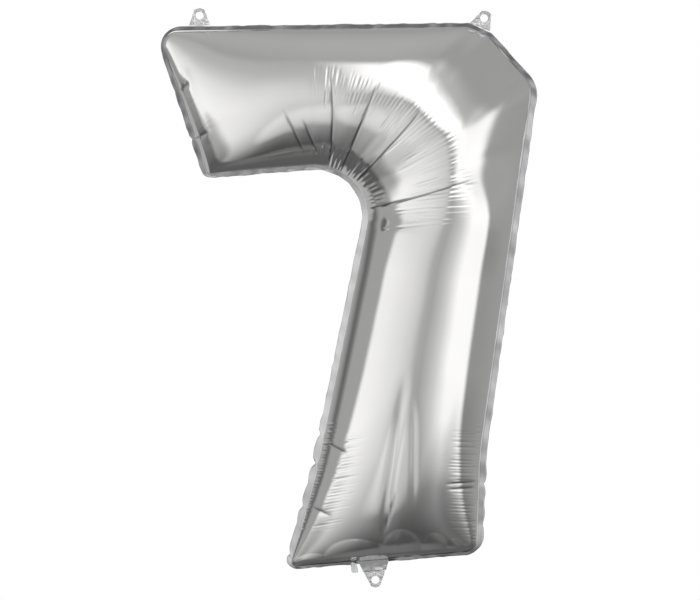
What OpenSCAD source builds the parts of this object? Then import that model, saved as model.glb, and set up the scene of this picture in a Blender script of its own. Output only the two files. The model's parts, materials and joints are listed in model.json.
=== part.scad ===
// Foil number balloon: the figure seven, inflated.
// The origin is the centre of the tie hole, below the foot of the figure.
// X runs to the reader's right, Z up the figure, and the front panel bulges towards -Y.

/* [Figure outline, along the outer edge of the seam] */
// Bottom edge of the leg, from the inlet neck to the left corner
foot_left_len = 138; // [110:1:170]
// Bottom edge of the leg, from the inlet neck to the right corner
foot_right_len = 165; // [130:1:200]
// Rise of the bottom edge towards the right, in degrees
foot_slope = 4.8; // [0:0.2:8]
// Lowest stretch of the leg's right-hand side, below its waist
foot_side_right = 150; // [120:1:180]
// Lean of that stretch from upright, in degrees
foot_lean_right = 2.5; // [0:0.5:6]
// Lowest stretch of the leg's left-hand side, below its waist
foot_side_left = 150; // [120:1:180]
// Lean of that stretch from upright, in degrees
foot_lean_left = 15.4; // [12:0.2:18]
// Right-hand side of the leg above its waist
leg_len = 567; // [450:1:690]
// Lean of the right-hand side above the waist from upright, in degrees
leg_lean_right = 8; // [5:0.5:11]
// Lean of the left-hand side above the waist from upright, in degrees
leg_lean_left = 11.6; // [9:0.2:14]
// Slanted cut of the top right corner
crown_cut_len = 107; // [85:1:135]
// Slope of that cut, in degrees
crown_cut_slope = 48; // [42:0.5:54]
// Straight seat of the right hang tab
tab_seat_len = 38; // [34:1:46]
// Slope of that seat, in degrees
tab_seat_slope = 23.6; // [18:0.2:30]
// Top edge of the arm
top_len = 480; // [400:1:600]
// Slope of the top edge, in degrees
top_slope = 0.7; // [0:0.1:3]
// Slanted end of the arm
arm_end_len = 244; // [200:1:290]
// Lean of the arm's end from upright, in degrees
arm_end_lean = 18.7; // [12:0.1:24]
// Rise of the arm's underside towards the leg, in degrees
underside_slope = 4.5; // [0:0.5:7]

/* [Corner radii] */
// Inside bend between the arm and the leg
bend_r = 70; // [50:1:95]
// Upper corner of the arm's end
arm_top_r = 32; // [24:1:40]
// Lower corner of the arm's end
arm_low_r = 14; // [12:1:20]
// Two ends of the right hang tab's seat
tab_seat_r = 14; // [12:1:16]
// Lower end of the crown's slanted cut
crown_r = 46; // [30:1:60]
// Right corner of the foot
foot_right_r = 28; // [20:1:40]
// Left corner of the foot
foot_left_r = 16; // [12:1:24]
// Waist of the leg, on both sides
waist_r = 700; // [300:10:1200]

/* [Inflated shape] */
// Depth of each panel's crest at the arm, from the seam's middle plane
arm_depth = 103; // [75:1:125]
// Depth of each panel's crest at the leg
leg_depth = 115; // [85:1:140]
// Length over which the arm's end rounds off to its seam
arm_round = 98; // [70:1:130]
// Length over which the foot rounds off to its seam
foot_round = 112; // [80:1:150]

/* [Films] */
// Wall that stands for the foil film of a panel
film_t = 0.8; // [0.6:0.1:1.2]
// Width of the welded seam outside the bulge
seam_w = 9; // [6:0.5:11]
// Width of the seam under the edge of the bulge, past the film
seam_lap = 1.5; // [1:0.5:3]
// Thickness of each film of the inlet neck
neck_film_t = 0.3; // [0.2:0.05:0.5]
// Thickness of each valve film
valve_film_t = 0.15; // [0.1:0.05:0.3]
// Gap of the flat valve channel
valve_gap = 0.1; // [0.08:0.01:0.2]

/* [Inlet neck and valve] */
// Width of the inlet neck
neck_w = 44; // [40:1:56]
// Length of the inlet neck past the seam
neck_len = 12; // [9:1:18]
// Width of the valve films
valve_w = 36; // [28:1:38]
// Length of the valve above the seam's outer edge
valve_len = 135; // [100:1:180]
// Width of the weld along each side of the valve
valve_weld_w = 3; // [2:0.5:5]
// Thickness of the printed release layer in the channel
print_t = 0.04; // [0.03:0.01:0.06]
// How far the release layer runs past the seam at both sides
print_margin = 5; // [3:1:9]

/* [Tabs] */
// Diameter of the hole in each tab
hole_d = 12; // [9:0.5:14]
// Width of each tab at its root
tab_root_w = 33; // [29:1:38]
// Radius of each tab's rounded end, about the hole
tab_end_r = 11.5; // [9.5:0.5:14]
// Distance from the root to the hole of the two hang tabs
hang_reach = 15; // [13:0.5:19]
// Distance from the root to the hole of the tie tab
tie_reach = 13; // [12:0.5:18]
// Thickness of each tab
tab_t = 0.4; // [0.3:0.05:0.6]
// Clear gap between a tab's root and the edge it hangs from
hinge_gap = 0.6; // [0.5:0.05:1]
// Distance of the left hang tab's middle from the arm's upper corner
left_tab_from_corner = 72; // [55:1:90]

/* [Hidden] */

// How finely the bulges are divided: along the arm, round the bend, along the leg, and across
arm_steps = 13;
bend_steps = 13;
leg_steps = 18;
cross_steps = 18;
steps = arm_steps + bend_steps + leg_steps;
// Segments in each rounded corner of the outline, and in a tab's rounded end
corner_steps = 8;
tab_steps = 32;

FRONT = -1;
BACK = 1;

seam_t = 2 * (neck_film_t + valve_film_t) + valve_gap;
channel_y = valve_gap / 2;
valve_y = channel_y + valve_film_t;

function heading(angle) = [cos(angle), sin(angle)];
function left_of(v) = [-v.y, v.x];
function unit(v) = v / norm(v);
function cross2(a, b) = a.x * b.y - a.y * b.x;
// Where the line through p along u meets the line through q along v
function meet(p, u, q, v) = p + u * cross2(q - p, v) / cross2(u, v);

// Corners of the seam's outer edge, anticlockwise from the left of the foot.
// Points are [x, z]; the foot's edge passes the neck's middle, straight above the tie hole.
neck_reach = neck_len + hinge_gap + tie_reach;
foot_along = heading(foot_slope);
neck_seat = left_of(foot_along) * neck_reach;
foot_left = neck_seat - foot_along * foot_left_len;
foot_right = neck_seat + foot_along * foot_right_len;
waist_right = foot_right + heading(90 - foot_lean_right) * foot_side_right;
crown_right = waist_right + heading(90 - leg_lean_right) * leg_len;
seat_right = crown_right + heading(180 - crown_cut_slope) * crown_cut_len;
seat_left = seat_right + heading(180 - tab_seat_slope) * tab_seat_len;
arm_top = seat_left + heading(180 + top_slope) * top_len;
arm_low = arm_top + heading(arm_end_lean - 90) * arm_end_len;
waist_left = foot_left + heading(90 - foot_lean_left) * foot_side_left;
crook = meet(arm_low, heading(underside_slope), waist_left, heading(90 - leg_lean_left));

CORNERS = [
    foot_left, foot_right, waist_right, crown_right, seat_right,
    seat_left, arm_top, arm_low, crook, waist_left];
RADII = [
    foot_left_r, foot_right_r, waist_r, crown_r, tab_seat_r,
    tab_seat_r, arm_top_r, arm_low_r, bend_r, waist_r];
FOOT_LEFT = 0;
FOOT_RIGHT = 1;
WAIST_RIGHT = 2;
CROWN_RIGHT = 3;
SEAT_RIGHT = 4;
SEAT_LEFT = 5;
ARM_TOP = 6;
ARM_LOW = 7;
CROOK = 8;
WAIST_LEFT = 9;

function around(i) = (i + len(CORNERS)) % len(CORNERS);
// Direction of the outline's edge that leaves corner i
function edge_dir(i) = unit(CORNERS[around(i + 1)] - CORNERS[around(i)]);
// Corner i of the outline moved inwards by d
function corner(i, d) =
    let (before = edge_dir(i - 1), after = edge_dir(i))
    meet(CORNERS[i] + left_of(before) * d, before, CORNERS[i] + left_of(after) * d, after);
// Its radius there: a round corner tightens inwards, and the crook's opens
function corner_radius(i, d) =
    cross2(edge_dir(i - 1), edge_dir(i)) > 0 ? max(RADII[i] - d, 1) : RADII[i] + d;
// Length that a corner's rounding takes from each of its edges
function corner_run(i, d) =
    let (turn = acos(edge_dir(i - 1) * edge_dir(i)))
    corner_radius(i, d) * tan(turn / 2);
// Points of corner i's arc, anticlockwise round the outline
function corner_arc(i, d) =
    let (
        before = edge_dir(i - 1), after = edge_dir(i),
        side = sign(cross2(before, after)),
        r = corner_radius(i, d),
        start = corner(i, d) - before * corner_run(i, d),
        centre = start + left_of(before) * r * side,
        turn = acos(before * after) * side,
        spoke = start - centre
    )
    [for (k = [0:corner_steps])
        let (a = turn * k / corner_steps)
        centre + [spoke.x * cos(a) - spoke.y * sin(a), spoke.x * sin(a) + spoke.y * cos(a)]];
function reversed(list) = [for (k = [len(list) - 1:-1:0]) list[k]];

// The two long sides, both from the arm's end to the foot, of the outline moved inwards by d
function inner_side(d) = concat(
    corner_arc(ARM_LOW, d), corner_arc(CROOK, d), corner_arc(WAIST_LEFT, d), corner_arc(FOOT_LEFT, d));
function outer_side(d) = reversed(concat(
    corner_arc(FOOT_RIGHT, d), corner_arc(WAIST_RIGHT, d), corner_arc(CROWN_RIGHT, d),
    corner_arc(SEAT_RIGHT, d), corner_arc(SEAT_LEFT, d), corner_arc(ARM_TOP, d)));

// Length from point k of a side to the next, or 0 past the last
function step_length(side, k) = k + 1 < len(side) ? norm(side[k + 1] - side[k]) : 0;
// Running length at each point of a side
function running(side) =
    [for (k = 0, s = 0; k < len(side); s = s + step_length(side, k), k = k + 1) s];
// Point at running length s of a side whose running lengths are run
function point_at(side, run, s) = [
    lookup(s, [for (k = [0:len(side) - 1]) [run[k], side[k].x]]),
    lookup(s, [for (k = [0:len(side) - 1]) [run[k], side[k].y]])];

// Where the bend starts and ends on each side, as running lengths: the crook's arc on the inner
// side, and on the outer side the points square across from the arc's two ends.
arc_points = corner_steps + 1;
function inner_marks(run) = [0, run[arc_points], run[2 * arc_points - 1], run[len(run) - 1]];
function outer_marks(d, inner, run) =
    let (
        top = edge_dir(SEAT_LEFT), right = edge_dir(WAIST_RIGHT),
        before = (inner[arc_points] - corner(SEAT_LEFT, d)) * top - corner_run(SEAT_LEFT, d),
        after = (corner(CROWN_RIGHT, d) - inner[2 * arc_points - 1]) * right - corner_run(CROWN_RIGHT, d)
    )
    [0, run[arc_points] - max(before, 1), run[4 * arc_points - 1] + max(after, 1), run[len(run) - 1]];

// Share of the way along each stretch for station i, closer together towards the two ends
function share(i) =
    i <= arm_steps ? [0, 1 - cos(90 * i / arm_steps)] :
    i <= arm_steps + bend_steps ? [1, (i - arm_steps) / bend_steps] :
    [2, sin(90 * (i - arm_steps - bend_steps) / leg_steps)];
function mark_at(marks, i) =
    let (s = share(i)) marks[s[0]] + (marks[s[0] + 1] - marks[s[0]]) * s[1];
// Pairs of points across the figure, inner side first, of the outline moved inwards by d
function stations(d) =
    let (
        inner = inner_side(d), outer = outer_side(d),
        inner_run = running(inner), outer_run = running(outer),
        inner_stops = inner_marks(inner_run), outer_stops = outer_marks(d, inner, outer_run)
    )
    [for (i = [0:steps]) [
        point_at(inner, inner_run, mark_at(inner_stops, i)),
        point_at(outer, outer_run, mark_at(outer_stops, i))]];
// The closed outline moved inwards by d
function outline(d) =
    let (across = stations(d))
    concat([for (s = across) s[0]], reversed([for (s = across) s[1]]));

// Rounding of an end: 0 at the end's seam, 1 from the length run on
function rounding(s, run) = sqrt(1 - pow(1 - min(s / run, 1), 2));
function middle(pair) = (pair[0] + pair[1]) / 2;
// Crest depth at station i of a bulge whose surface lies inside the panel's outer one by skin
function crest(across, i, skin) =
    let (
        along = min(max((i - arm_steps) / bend_steps, 0), 1),
        depth = arm_depth + (leg_depth - arm_depth) * along,
        from_arm = norm(middle(across[i]) - middle(across[0])),
        from_foot = norm(middle(across[i]) - middle(across[steps]))
    )
    (depth - seam_t / 2 - skin)
        * rounding(from_arm, arm_round - skin) * rounding(from_foot, foot_round - skin);
// Points of one surface of a bulge, station by station, elliptical across the figure
function surface_points(side, skin) =
    let (across = stations(seam_w + skin))
    [for (i = [0:steps], j = [0:cross_steps])
        let (
            a = 180 * j / cross_steps,
            in_plane = middle(across[i]) - (across[i][1] - across[i][0]) / 2 * cos(a),
            rise = j == 0 || j == cross_steps ? 0 : crest(across, i, skin) * sin(a)
        )
        [in_plane.x, side * (seam_t / 2 + rise), in_plane.y]];

row = cross_steps + 1;
skin_points = (steps + 1) * row;
// Triangles of a surface whose points start at number base, and which faces outwards if out is true
function surface_faces(base, out) =
    [for (i = [0:steps - 1], j = [0:cross_steps - 1], half = [0, 1])
        let (
            p = base + i * row + j,
            t = half == 0 ? [p, p + 1, p + row + 1] : [p, p + row + 1, p + row]
        )
        out ? t : reversed(t)];
// The rim's points in order round the panel
rim = concat(
    [for (j = [0:cross_steps]) j],
    [for (i = [1:steps]) i * row + cross_steps],
    [for (j = [cross_steps - 1:-1:0]) steps * row + j],
    [for (i = [steps - 1:-1:1]) i * row]);
function rim_faces(out) =
    [for (k = [0:len(rim) - 1], half = [0, 1])
        let (
            a = rim[k], b = rim[(k + 1) % len(rim)],
            t = half == 0 ? [b, a, a + skin_points] : [b, a + skin_points, b + skin_points]
        )
        out ? t : reversed(t)];

// A thin bulging shell that stands on the seam's face
module bulge(side) {
    polyhedron(
        points = concat(surface_points(side, 0), surface_points(side, film_t)),
        faces = concat(
            rim_faces(side == FRONT),
            surface_faces(0, side == FRONT),
            surface_faces(skin_points, side == BACK)));
}

// Turns a shape drawn in X and Z into a plate between two depths
module plate(y_from, y_to) {
    translate([0, y_to, 0]) rotate([90, 0, 0]) linear_extrude(y_to - y_from) children();
}

// Moves a shape drawn with its root on the x axis and its body above it onto an edge of the figure
module seated(at, angle) {
    translate([at.x, at.y]) rotate(angle) children();
}

module front_panel() {
    color("silver") bulge(FRONT);
}

module back_panel() {
    color("silver") bulge(BACK);
}

module heat_seal_seam() {
    color("gainsboro") difference() {
        plate(-seam_t / 2, seam_t / 2) difference() {
            polygon(outline(0));
            polygon(outline(seam_w + film_t + seam_lap));
        }
        valve_slot();
    }
}

// The films' way through the seam
module valve_slot() {
    slot_len = 4 * (seam_w + film_t + seam_lap);
    plate(-valve_y, valve_y) seated(neck_seat, foot_slope)
        translate([-valve_w / 2, -slot_len / 2]) square([valve_w, slot_len]);
}

module neck_outline() {
    seated(neck_seat, foot_slope) translate([-neck_w / 2, -neck_len]) square([neck_w, neck_len]);
}

module neck_front_film() {
    color("silver") plate(-seam_t / 2, -valve_y) neck_outline();
}

module neck_back_film() {
    color("silver") plate(valve_y, seam_t / 2) neck_outline();
}

module valve_outline() {
    seated(neck_seat, foot_slope)
        translate([-valve_w / 2, -neck_len]) square([valve_w, neck_len + valve_len]);
}

module valve_front_film() {
    color("whitesmoke") plate(-valve_y, -channel_y) valve_outline();
}

module valve_back_film() {
    color("whitesmoke") plate(channel_y, valve_y) valve_outline();
}

module valve_side_welds() {
    color("lightgray") plate(-channel_y, channel_y) seated(neck_seat, foot_slope)
        for (x = [-valve_w / 2, valve_w / 2 - valve_weld_w])
            translate([x, -neck_len]) square([valve_weld_w, neck_len + valve_len]);
}

module valve_release_print() {
    print_w = valve_w - 2 * valve_weld_w;
    color("lightsteelblue") plate(-channel_y, print_t - channel_y) seated(neck_seat, foot_slope)
        translate([-print_w / 2, -print_margin]) square([print_w, seam_w + 2 * print_margin]);
}

// Outline of a tab whose straight root lies on the x axis, narrowing to a round end about the hole
module tab_outline(reach) {
    half = tab_root_w / 2;
    // Angle at which the straight side meets the round end without a corner
    span = norm([half, reach]);
    lean = atan2(reach, half) - acos(tab_end_r / span);
    polygon(concat(
        [[-half, 0], [half, 0]],
        [for (k = [0:tab_steps])
            let (a = -lean + (180 + 2 * lean) * k / tab_steps)
            [tab_end_r * cos(a), reach + tab_end_r * sin(a)]]));
}

// A tab seated on an edge, with its hole drilled through
module tab(at, angle, reach) {
    out = [-sin(angle), cos(angle)];
    root = at + out * hinge_gap;
    hole = root + out * reach;
    color("gainsboro") difference() {
        plate(-tab_t / 2, tab_t / 2) seated(root, angle) tab_outline(reach);
        translate([hole.x, 0, hole.y]) rotate([90, 0, 0])
            cylinder(h = 4 * tab_t, d = hole_d, center = true, $fn = 96);
    }
}

module hang_tab_left() {
    tab(corner(ARM_TOP, 0) + heading(top_slope) * left_tab_from_corner, top_slope, hang_reach);
}

module hang_tab_right() {
    tab((seat_left + seat_right) / 2, -tab_seat_slope, hang_reach);
}

module tie_tab() {
    tab(neck_seat - left_of(foot_along) * neck_len, foot_slope + 180, tie_reach);
}

front_panel();
back_panel();
heat_seal_seam();
neck_front_film();
neck_back_film();
valve_front_film();
valve_back_film();
valve_side_welds();
valve_release_print();
hang_tab_left();
hang_tab_right();
tie_tab();
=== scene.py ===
"""Foil number balloon, the figure seven: its inflated films, sealed rim, inlet neck, valve film and tabs.

The films' filled shape is a formula of the place between the figure's two sides, and its creases, pleats
and ripples are laid on that shape along its normals. Lengths inside the classes are in millimetres, in the
frame's X, Y and Z, and each mesh is written in metres.
"""

import json
import logging
import math
from dataclasses import dataclass, field
from enum import Enum, IntEnum

import bpy
import numpy as np
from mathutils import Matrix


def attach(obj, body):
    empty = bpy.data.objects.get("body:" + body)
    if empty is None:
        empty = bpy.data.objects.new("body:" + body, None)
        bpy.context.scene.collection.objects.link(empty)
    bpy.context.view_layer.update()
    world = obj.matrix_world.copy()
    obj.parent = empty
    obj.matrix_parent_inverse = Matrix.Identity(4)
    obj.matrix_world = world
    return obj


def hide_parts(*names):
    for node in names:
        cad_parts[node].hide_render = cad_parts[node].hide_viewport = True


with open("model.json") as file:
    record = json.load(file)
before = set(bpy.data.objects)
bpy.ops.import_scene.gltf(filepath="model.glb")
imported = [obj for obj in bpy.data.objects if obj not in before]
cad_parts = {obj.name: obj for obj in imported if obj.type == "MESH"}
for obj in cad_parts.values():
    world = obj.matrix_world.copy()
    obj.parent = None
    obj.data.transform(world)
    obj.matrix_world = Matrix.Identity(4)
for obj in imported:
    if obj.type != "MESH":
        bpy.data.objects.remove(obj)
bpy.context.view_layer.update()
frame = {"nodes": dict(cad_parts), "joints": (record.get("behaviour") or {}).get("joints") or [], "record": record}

MM = 0.001
LATTICE = 64
CORNERS = 10
LINE_WIDTH = 1.5
log = logging.getLogger("balloon")

Stops = tuple[tuple[float, float], ...]
PerEdge = tuple[float, float, float, float, float, float, float, float, float, float]


class Side(Enum):
    """Which of the two sheets a film is: the front one bulges towards -Y, the back one towards +Y."""

    FRONT = -1
    BACK = 1


class Corner(IntEnum):
    """The outline's corners, anticlockwise. An edge has the number of the corner that it leaves."""

    FOOT_LEFT = 0
    FOOT_RIGHT = 1
    WAIST_RIGHT = 2
    CROWN = 3
    SEAT_RIGHT = 4
    SEAT_LEFT = 5
    ARM_TOP = 6
    ARM_LOW = 7
    CROOK = 8
    WAIST_LEFT = 9


# ---------------------------------------------------------------- plane geometry


def heading(angle: float) -> np.ndarray:
    """Unit vector in the figure's plane at an angle in degrees from +X."""
    return np.array([math.cos(math.radians(angle)), math.sin(math.radians(angle))])


def left_of(v: np.ndarray) -> np.ndarray:
    """The vector turned a quarter turn anticlockwise."""
    return np.array([-v[1], v[0]])


def turn_between(a: np.ndarray, b: np.ndarray) -> float:
    """Cross product of two plane vectors: positive where b lies anticlockwise of a."""
    return float(a[0] * b[1] - a[1] * b[0])


def meet(p: np.ndarray, u: np.ndarray, q: np.ndarray, v: np.ndarray) -> np.ndarray:
    """Where the line through p along u meets the line through q along v."""
    return p + u * turn_between(q - p, v) / turn_between(u, v)


def run_of(line: np.ndarray) -> np.ndarray:
    """Distance along a line of points [n, k], from its first point."""
    steps = np.linalg.norm(np.diff(line, axis=0), axis=1)
    return np.concatenate([[0.0], np.cumsum(steps)])


def along(line: np.ndarray, run: np.ndarray, s: np.ndarray) -> np.ndarray:
    """Points at distances s along a line, straight between its own points."""
    return np.stack([np.interp(s, run, line[:, k]) for k in range(line.shape[1])], -1)


def smooth_step(x: np.ndarray) -> np.ndarray:
    """3x^2 - 2x^3 of x held between 0 and 1."""
    t = np.clip(x, 0.0, 1.0)
    return t * t * (3.0 - 2.0 * t)


def window(x: np.ndarray, low: float, high: float, fade: float) -> np.ndarray:
    """1 between low and high, falling smoothly to 0 over the fade distance outside them."""
    return smooth_step((x - low) / fade + 1.0) * smooth_step((high - x) / fade + 1.0)


def lattice_noise(x: np.ndarray, z: np.ndarray, scale: float, seed: int) -> np.ndarray:
    """Smooth noise between -1 and 1: random values on a square lattice, blended smoothly between them.

    Args:
        x: places across.
        z: places up.
        scale: the lattice's spacing.
        seed: for the random values.

    Returns:
        The noise at each place.
    """
    rng = np.random.default_rng(seed)
    table = rng.uniform(-1.0, 1.0, (LATTICE, LATTICE))
    a, b = x / scale, z / scale
    i, j = np.floor(a).astype(int), np.floor(b).astype(int)
    f, g = smooth_step(a - i), smooth_step(b - j)
    i0, i1, j0, j1 = i % LATTICE, (i + 1) % LATTICE, j % LATTICE, (j + 1) % LATTICE
    low = table[i0, j0] * (1 - f) + table[i1, j0] * f
    high = table[i0, j1] * (1 - f) + table[i1, j1] * f
    return low * (1 - g) + high * g


@dataclass
class Outline:
    """The seam's outer edge: ten straight edges with rounded corners, anticlockwise from the foot's left.

    The rows with one value for each corner or edge are the corners' radii, the slack of the flat cut past
    the seam, the width of the weld, how far the flange leans back in degrees and how much painted light brightens
    it.
    """

    foot_left_len: float = 138.0
    foot_right_len: float = 165.0
    foot_slope: float = 4.8
    foot_side: float = 150.0
    foot_lean_right: float = 2.5
    foot_lean_left: float = 15.4
    leg_len: float = 567.0
    leg_lean_right: float = 8.0
    leg_lean_left: float = 11.6
    crown_cut_len: float = 107.0
    crown_cut_slope: float = 48.0
    tab_seat_len: float = 38.0
    tab_seat_slope: float = 23.6
    top_len: float = 480.0
    top_slope: float = 0.7
    arm_end_len: float = 244.0
    arm_end_lean: float = 18.7
    underside_slope: float = 4.5
    neck_reach: float = 25.6
    seam_w: float = 9.0
    radii: PerEdge = (16.0, 28.0, 700.0, 46.0, 14.0, 14.0, 32.0, 14.0, 70.0, 700.0)
    slack: PerEdge = (34.0, 52.0, 56.0, 30.0, 34.0, 54.0, 30.0, 52.0, 56.0, 52.0)
    weld: PerEdge = (4.5, 9.5, 9.5, 6.5, 6.0, 6.0, 5.5, 6.5, 8.0, 8.0)
    lean_back: PerEdge = (14.0, 16.0, 17.0, 3.0, 0.0, 0.0, 4.0, -9.0, 20.0, 18.0)
    # Painted light: per edge, how far the flange's colour is lightened where it catches brighter light.
    seam_painted_light_and_tone: PerEdge = (0.1, 0.28, 0.36, 0.0, 0.0, 0.0, 0.1, 0.4, 0.65, 0.5)
    least_radius: float = 3.0
    least_flat_radius: float = 22.0
    patch_arc_points: int = 14
    ring_arc_points: int = 22
    ring_edge_points: int = 90
    corners: list[np.ndarray] = field(init=False)

    def __post_init__(self) -> None:
        """Walks the edges from the neck's seat and keeps the ten corners."""
        foot = heading(self.foot_slope)
        seat = left_of(foot) * self.neck_reach
        foot_left = seat - foot * self.foot_left_len
        foot_right = seat + foot * self.foot_right_len
        waist_right = foot_right + heading(90.0 - self.foot_lean_right) * self.foot_side
        crown = waist_right + heading(90.0 - self.leg_lean_right) * self.leg_len
        seat_right = crown + heading(180.0 - self.crown_cut_slope) * self.crown_cut_len
        seat_left = seat_right + heading(180.0 - self.tab_seat_slope) * self.tab_seat_len
        arm_top = seat_left + heading(180.0 + self.top_slope) * self.top_len
        arm_low = arm_top + heading(self.arm_end_lean - 90.0) * self.arm_end_len
        waist_left = foot_left + heading(90.0 - self.foot_lean_left) * self.foot_side
        crook = meet(arm_low, heading(self.underside_slope), waist_left, heading(90.0 - self.leg_lean_left))
        self.corners = [foot_left, foot_right, waist_right, crown, seat_right]
        self.corners += [seat_left, arm_top, arm_low, crook, waist_left]

    def edge(self, i: int) -> np.ndarray:
        """Direction of the edge that leaves corner i."""
        d = self.corners[(i + 1) % CORNERS] - self.corners[i % CORNERS]
        return d / np.linalg.norm(d)

    def inset(self, d: float, i: int) -> float:
        """Inset of edge i: d in proportion to its weld, or for the flat cut the seam less its slack."""
        return d * self.weld[i % CORNERS] / self.seam_w if d >= 0.0 else self.seam_w - self.slack[i % CORNERS]

    def arc(self, i: int, d: float, count: int) -> np.ndarray:
        """Points on corner i's arc at inset d, which is tangent to the two inset edges that meet there.

        Args:
            i: the corner's number.
            d: inset from the outer edge, or a negative number for the flat cut.
            count: how many points.

        Returns:
            Points [count, 2], anticlockwise.
        """
        a, b = self.edge(i - 1), self.edge(i)
        on_a = self.corners[i] + left_of(a) * self.inset(d, i - 1)
        on_b = self.corners[i] + left_of(b) * self.inset(d, i)
        tip = meet(on_a, a, on_b, b)
        side = math.copysign(1.0, turn_between(a, b))
        if d < 0.0:
            r = self.radii[i] if side > 0 else max(self.radii[i] + d, self.least_flat_radius)
        else:
            r = max(self.radii[i] - d, self.least_radius) if side > 0 else self.radii[i] + d
        turn = math.acos(float(np.clip(a @ b, -1.0, 1.0)))
        start = tip - a * r * math.tan(turn / 2.0)
        centre = start + left_of(a) * r * side
        spoke = start - centre
        t = np.linspace(0.0, turn, count) * side
        c, s = np.cos(t), np.sin(t)
        return centre + np.stack([spoke[0] * c - spoke[1] * s, spoke[0] * s + spoke[1] * c], 1)

    def crook_centre(self) -> np.ndarray:
        """Centre of the arc at the inside of the bend."""
        start = self.arc(Corner.CROOK, 0.0, self.patch_arc_points)[0]
        return start - left_of(self.edge(Corner.ARM_LOW)) * self.radii[Corner.CROOK]

    def ring(self, d: float) -> np.ndarray:
        """The whole outline at inset d, with the same number of points whatever the inset.

        Args:
            d: inset from the outer edge, or a negative number for the flat cut.

        Returns:
            Points [n, 2] anticlockwise, without a repeat of the first.
        """
        arcs = [self.arc(i, d, self.ring_arc_points) for i in range(CORNERS)]
        f = np.linspace(0.0, 1.0, self.ring_edge_points + 2)[1:-1, None]
        parts = []
        for i in range(CORNERS):
            a, b = arcs[i][-1], arcs[(i + 1) % CORNERS][0]
            parts += [arcs[i], a + (b - a) * f]
        return np.concatenate(parts)

    def spread(self, values: PerEdge) -> np.ndarray:
        """One value for each point of the ring from one for each edge, changing evenly round each corner.

        Args:
            values: the edges' values.

        Returns:
            The points' values [n].
        """
        parts = []
        for i in range(CORNERS):
            parts.append(np.linspace(values[i - 1], values[i], self.ring_arc_points))
            parts.append(np.full(self.ring_edge_points, values[i]))
        return np.concatenate(parts)


class Patch:
    """A grid over the figure at one inset, running from the arm's end (u = 0) to the foot (u = 3)."""

    def __init__(self, outline: Outline, d: float) -> None:
        """Joins the corner arcs into the inner side, the outer side and the two end walls, and marks the
        bend.

        The four corners of the patch stand at the middle of the arcs at the arm's end and at the foot.

        Args:
            outline: the figure.
            d: inset from the outer edge.
        """
        half = outline.patch_arc_points // 2
        arcs = [outline.arc(i, d, outline.patch_arc_points) for i in range(CORNERS)]
        inner = [arcs[i] for i in (Corner.ARM_LOW, Corner.CROOK, Corner.WAIST_LEFT, Corner.FOOT_LEFT)]
        outer = [arcs[i][::-1] for i in range(Corner.ARM_TOP, Corner.FOOT_LEFT, -1)]
        inner[0], inner[-1] = inner[0][half:], inner[-1][: half + 1]
        outer[0], outer[-1] = outer[0][half:], outer[-1][: half + 1]
        arm_end = np.concatenate([arcs[Corner.ARM_LOW][: half + 1][::-1], arcs[Corner.ARM_TOP][half:][::-1]])
        foot_end = np.concatenate([arcs[Corner.FOOT_LEFT][half:], arcs[Corner.FOOT_RIGHT][: half + 1]])
        self.walls = [np.concatenate(inner), np.concatenate(outer), arm_end, foot_end]
        self.runs = [run_of(w) for w in self.walls]
        crook_start = len(inner[0])
        crook_end = crook_start + len(inner[1]) - 1
        ends = np.cumsum([len(a) for a in outer])
        seat_start, crown_end = ends[0], ends[3] - 1
        line_in, line_out = self.walls[0], self.walls[1]
        run_in, run_out = self.runs[0], self.runs[1]
        before = (line_in[crook_start] - line_out[seat_start]) @ outline.edge(Corner.SEAT_LEFT)
        after = (line_out[crown_end] - line_in[crook_end]) @ outline.edge(Corner.WAIST_RIGHT)
        bend_start = run_out[seat_start] - max(before, 1.0)
        bend_end = run_out[crown_end] + max(after, 1.0)
        self.marks_in = np.array([0.0, run_in[crook_start], run_in[crook_end], run_in[-1]])
        self.marks_out = np.array([0.0, bend_start, bend_end, run_out[-1]])

    def stations(self, u: np.ndarray) -> tuple[np.ndarray, np.ndarray]:
        """Distances along the inner and outer side for stations u between 0 and 3.

        Args:
            u: the stations: 0 to 1 is the arm, 1 to 2 the bend, 2 to 3 the leg.

        Returns:
            The distance along the inner side, and the one along the outer side.
        """
        k = np.minimum(u.astype(int), 2)
        f = u - k
        s_in = self.marks_in[k] + (self.marks_in[k + 1] - self.marks_in[k]) * f
        s_out = self.marks_out[k] + (self.marks_out[k + 1] - self.marks_out[k]) * f
        return s_in, s_out

    def grid(self, u: np.ndarray, v: np.ndarray) -> np.ndarray:
        """Points straight from the inner to the outer side, pulled onto the end walls in the outer thirds.

        Args:
            u: stations between 0 and 3.
            v: places across, 0 on the inner side and 1 on the outer one.

        Returns:
            Points [u, v, 2].
        """
        s_in, s_out = self.stations(u)
        a = along(self.walls[0], self.runs[0], s_in)[:, None]
        b = along(self.walls[1], self.runs[1], s_out)[:, None]
        c = along(self.walls[2], self.runs[2], v * self.runs[2][-1])[None]
        d = along(self.walls[3], self.runs[3], v * self.runs[3][-1])[None]
        part = (s_in / s_in[-1])[:, None, None]
        w = v[None, :, None]
        flat = a * (1.0 - w) + b * w
        near_arm = np.clip(1.0 - part * 3.0, 0.0, 1.0) ** 2
        near_foot = np.clip(1.0 - (1.0 - part) * 3.0, 0.0, 1.0) ** 2
        return flat + near_arm * (c - flat[:1]) + near_foot * (d - flat[-1:])


# ---------------------------------------------------------------- the filled film


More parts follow.
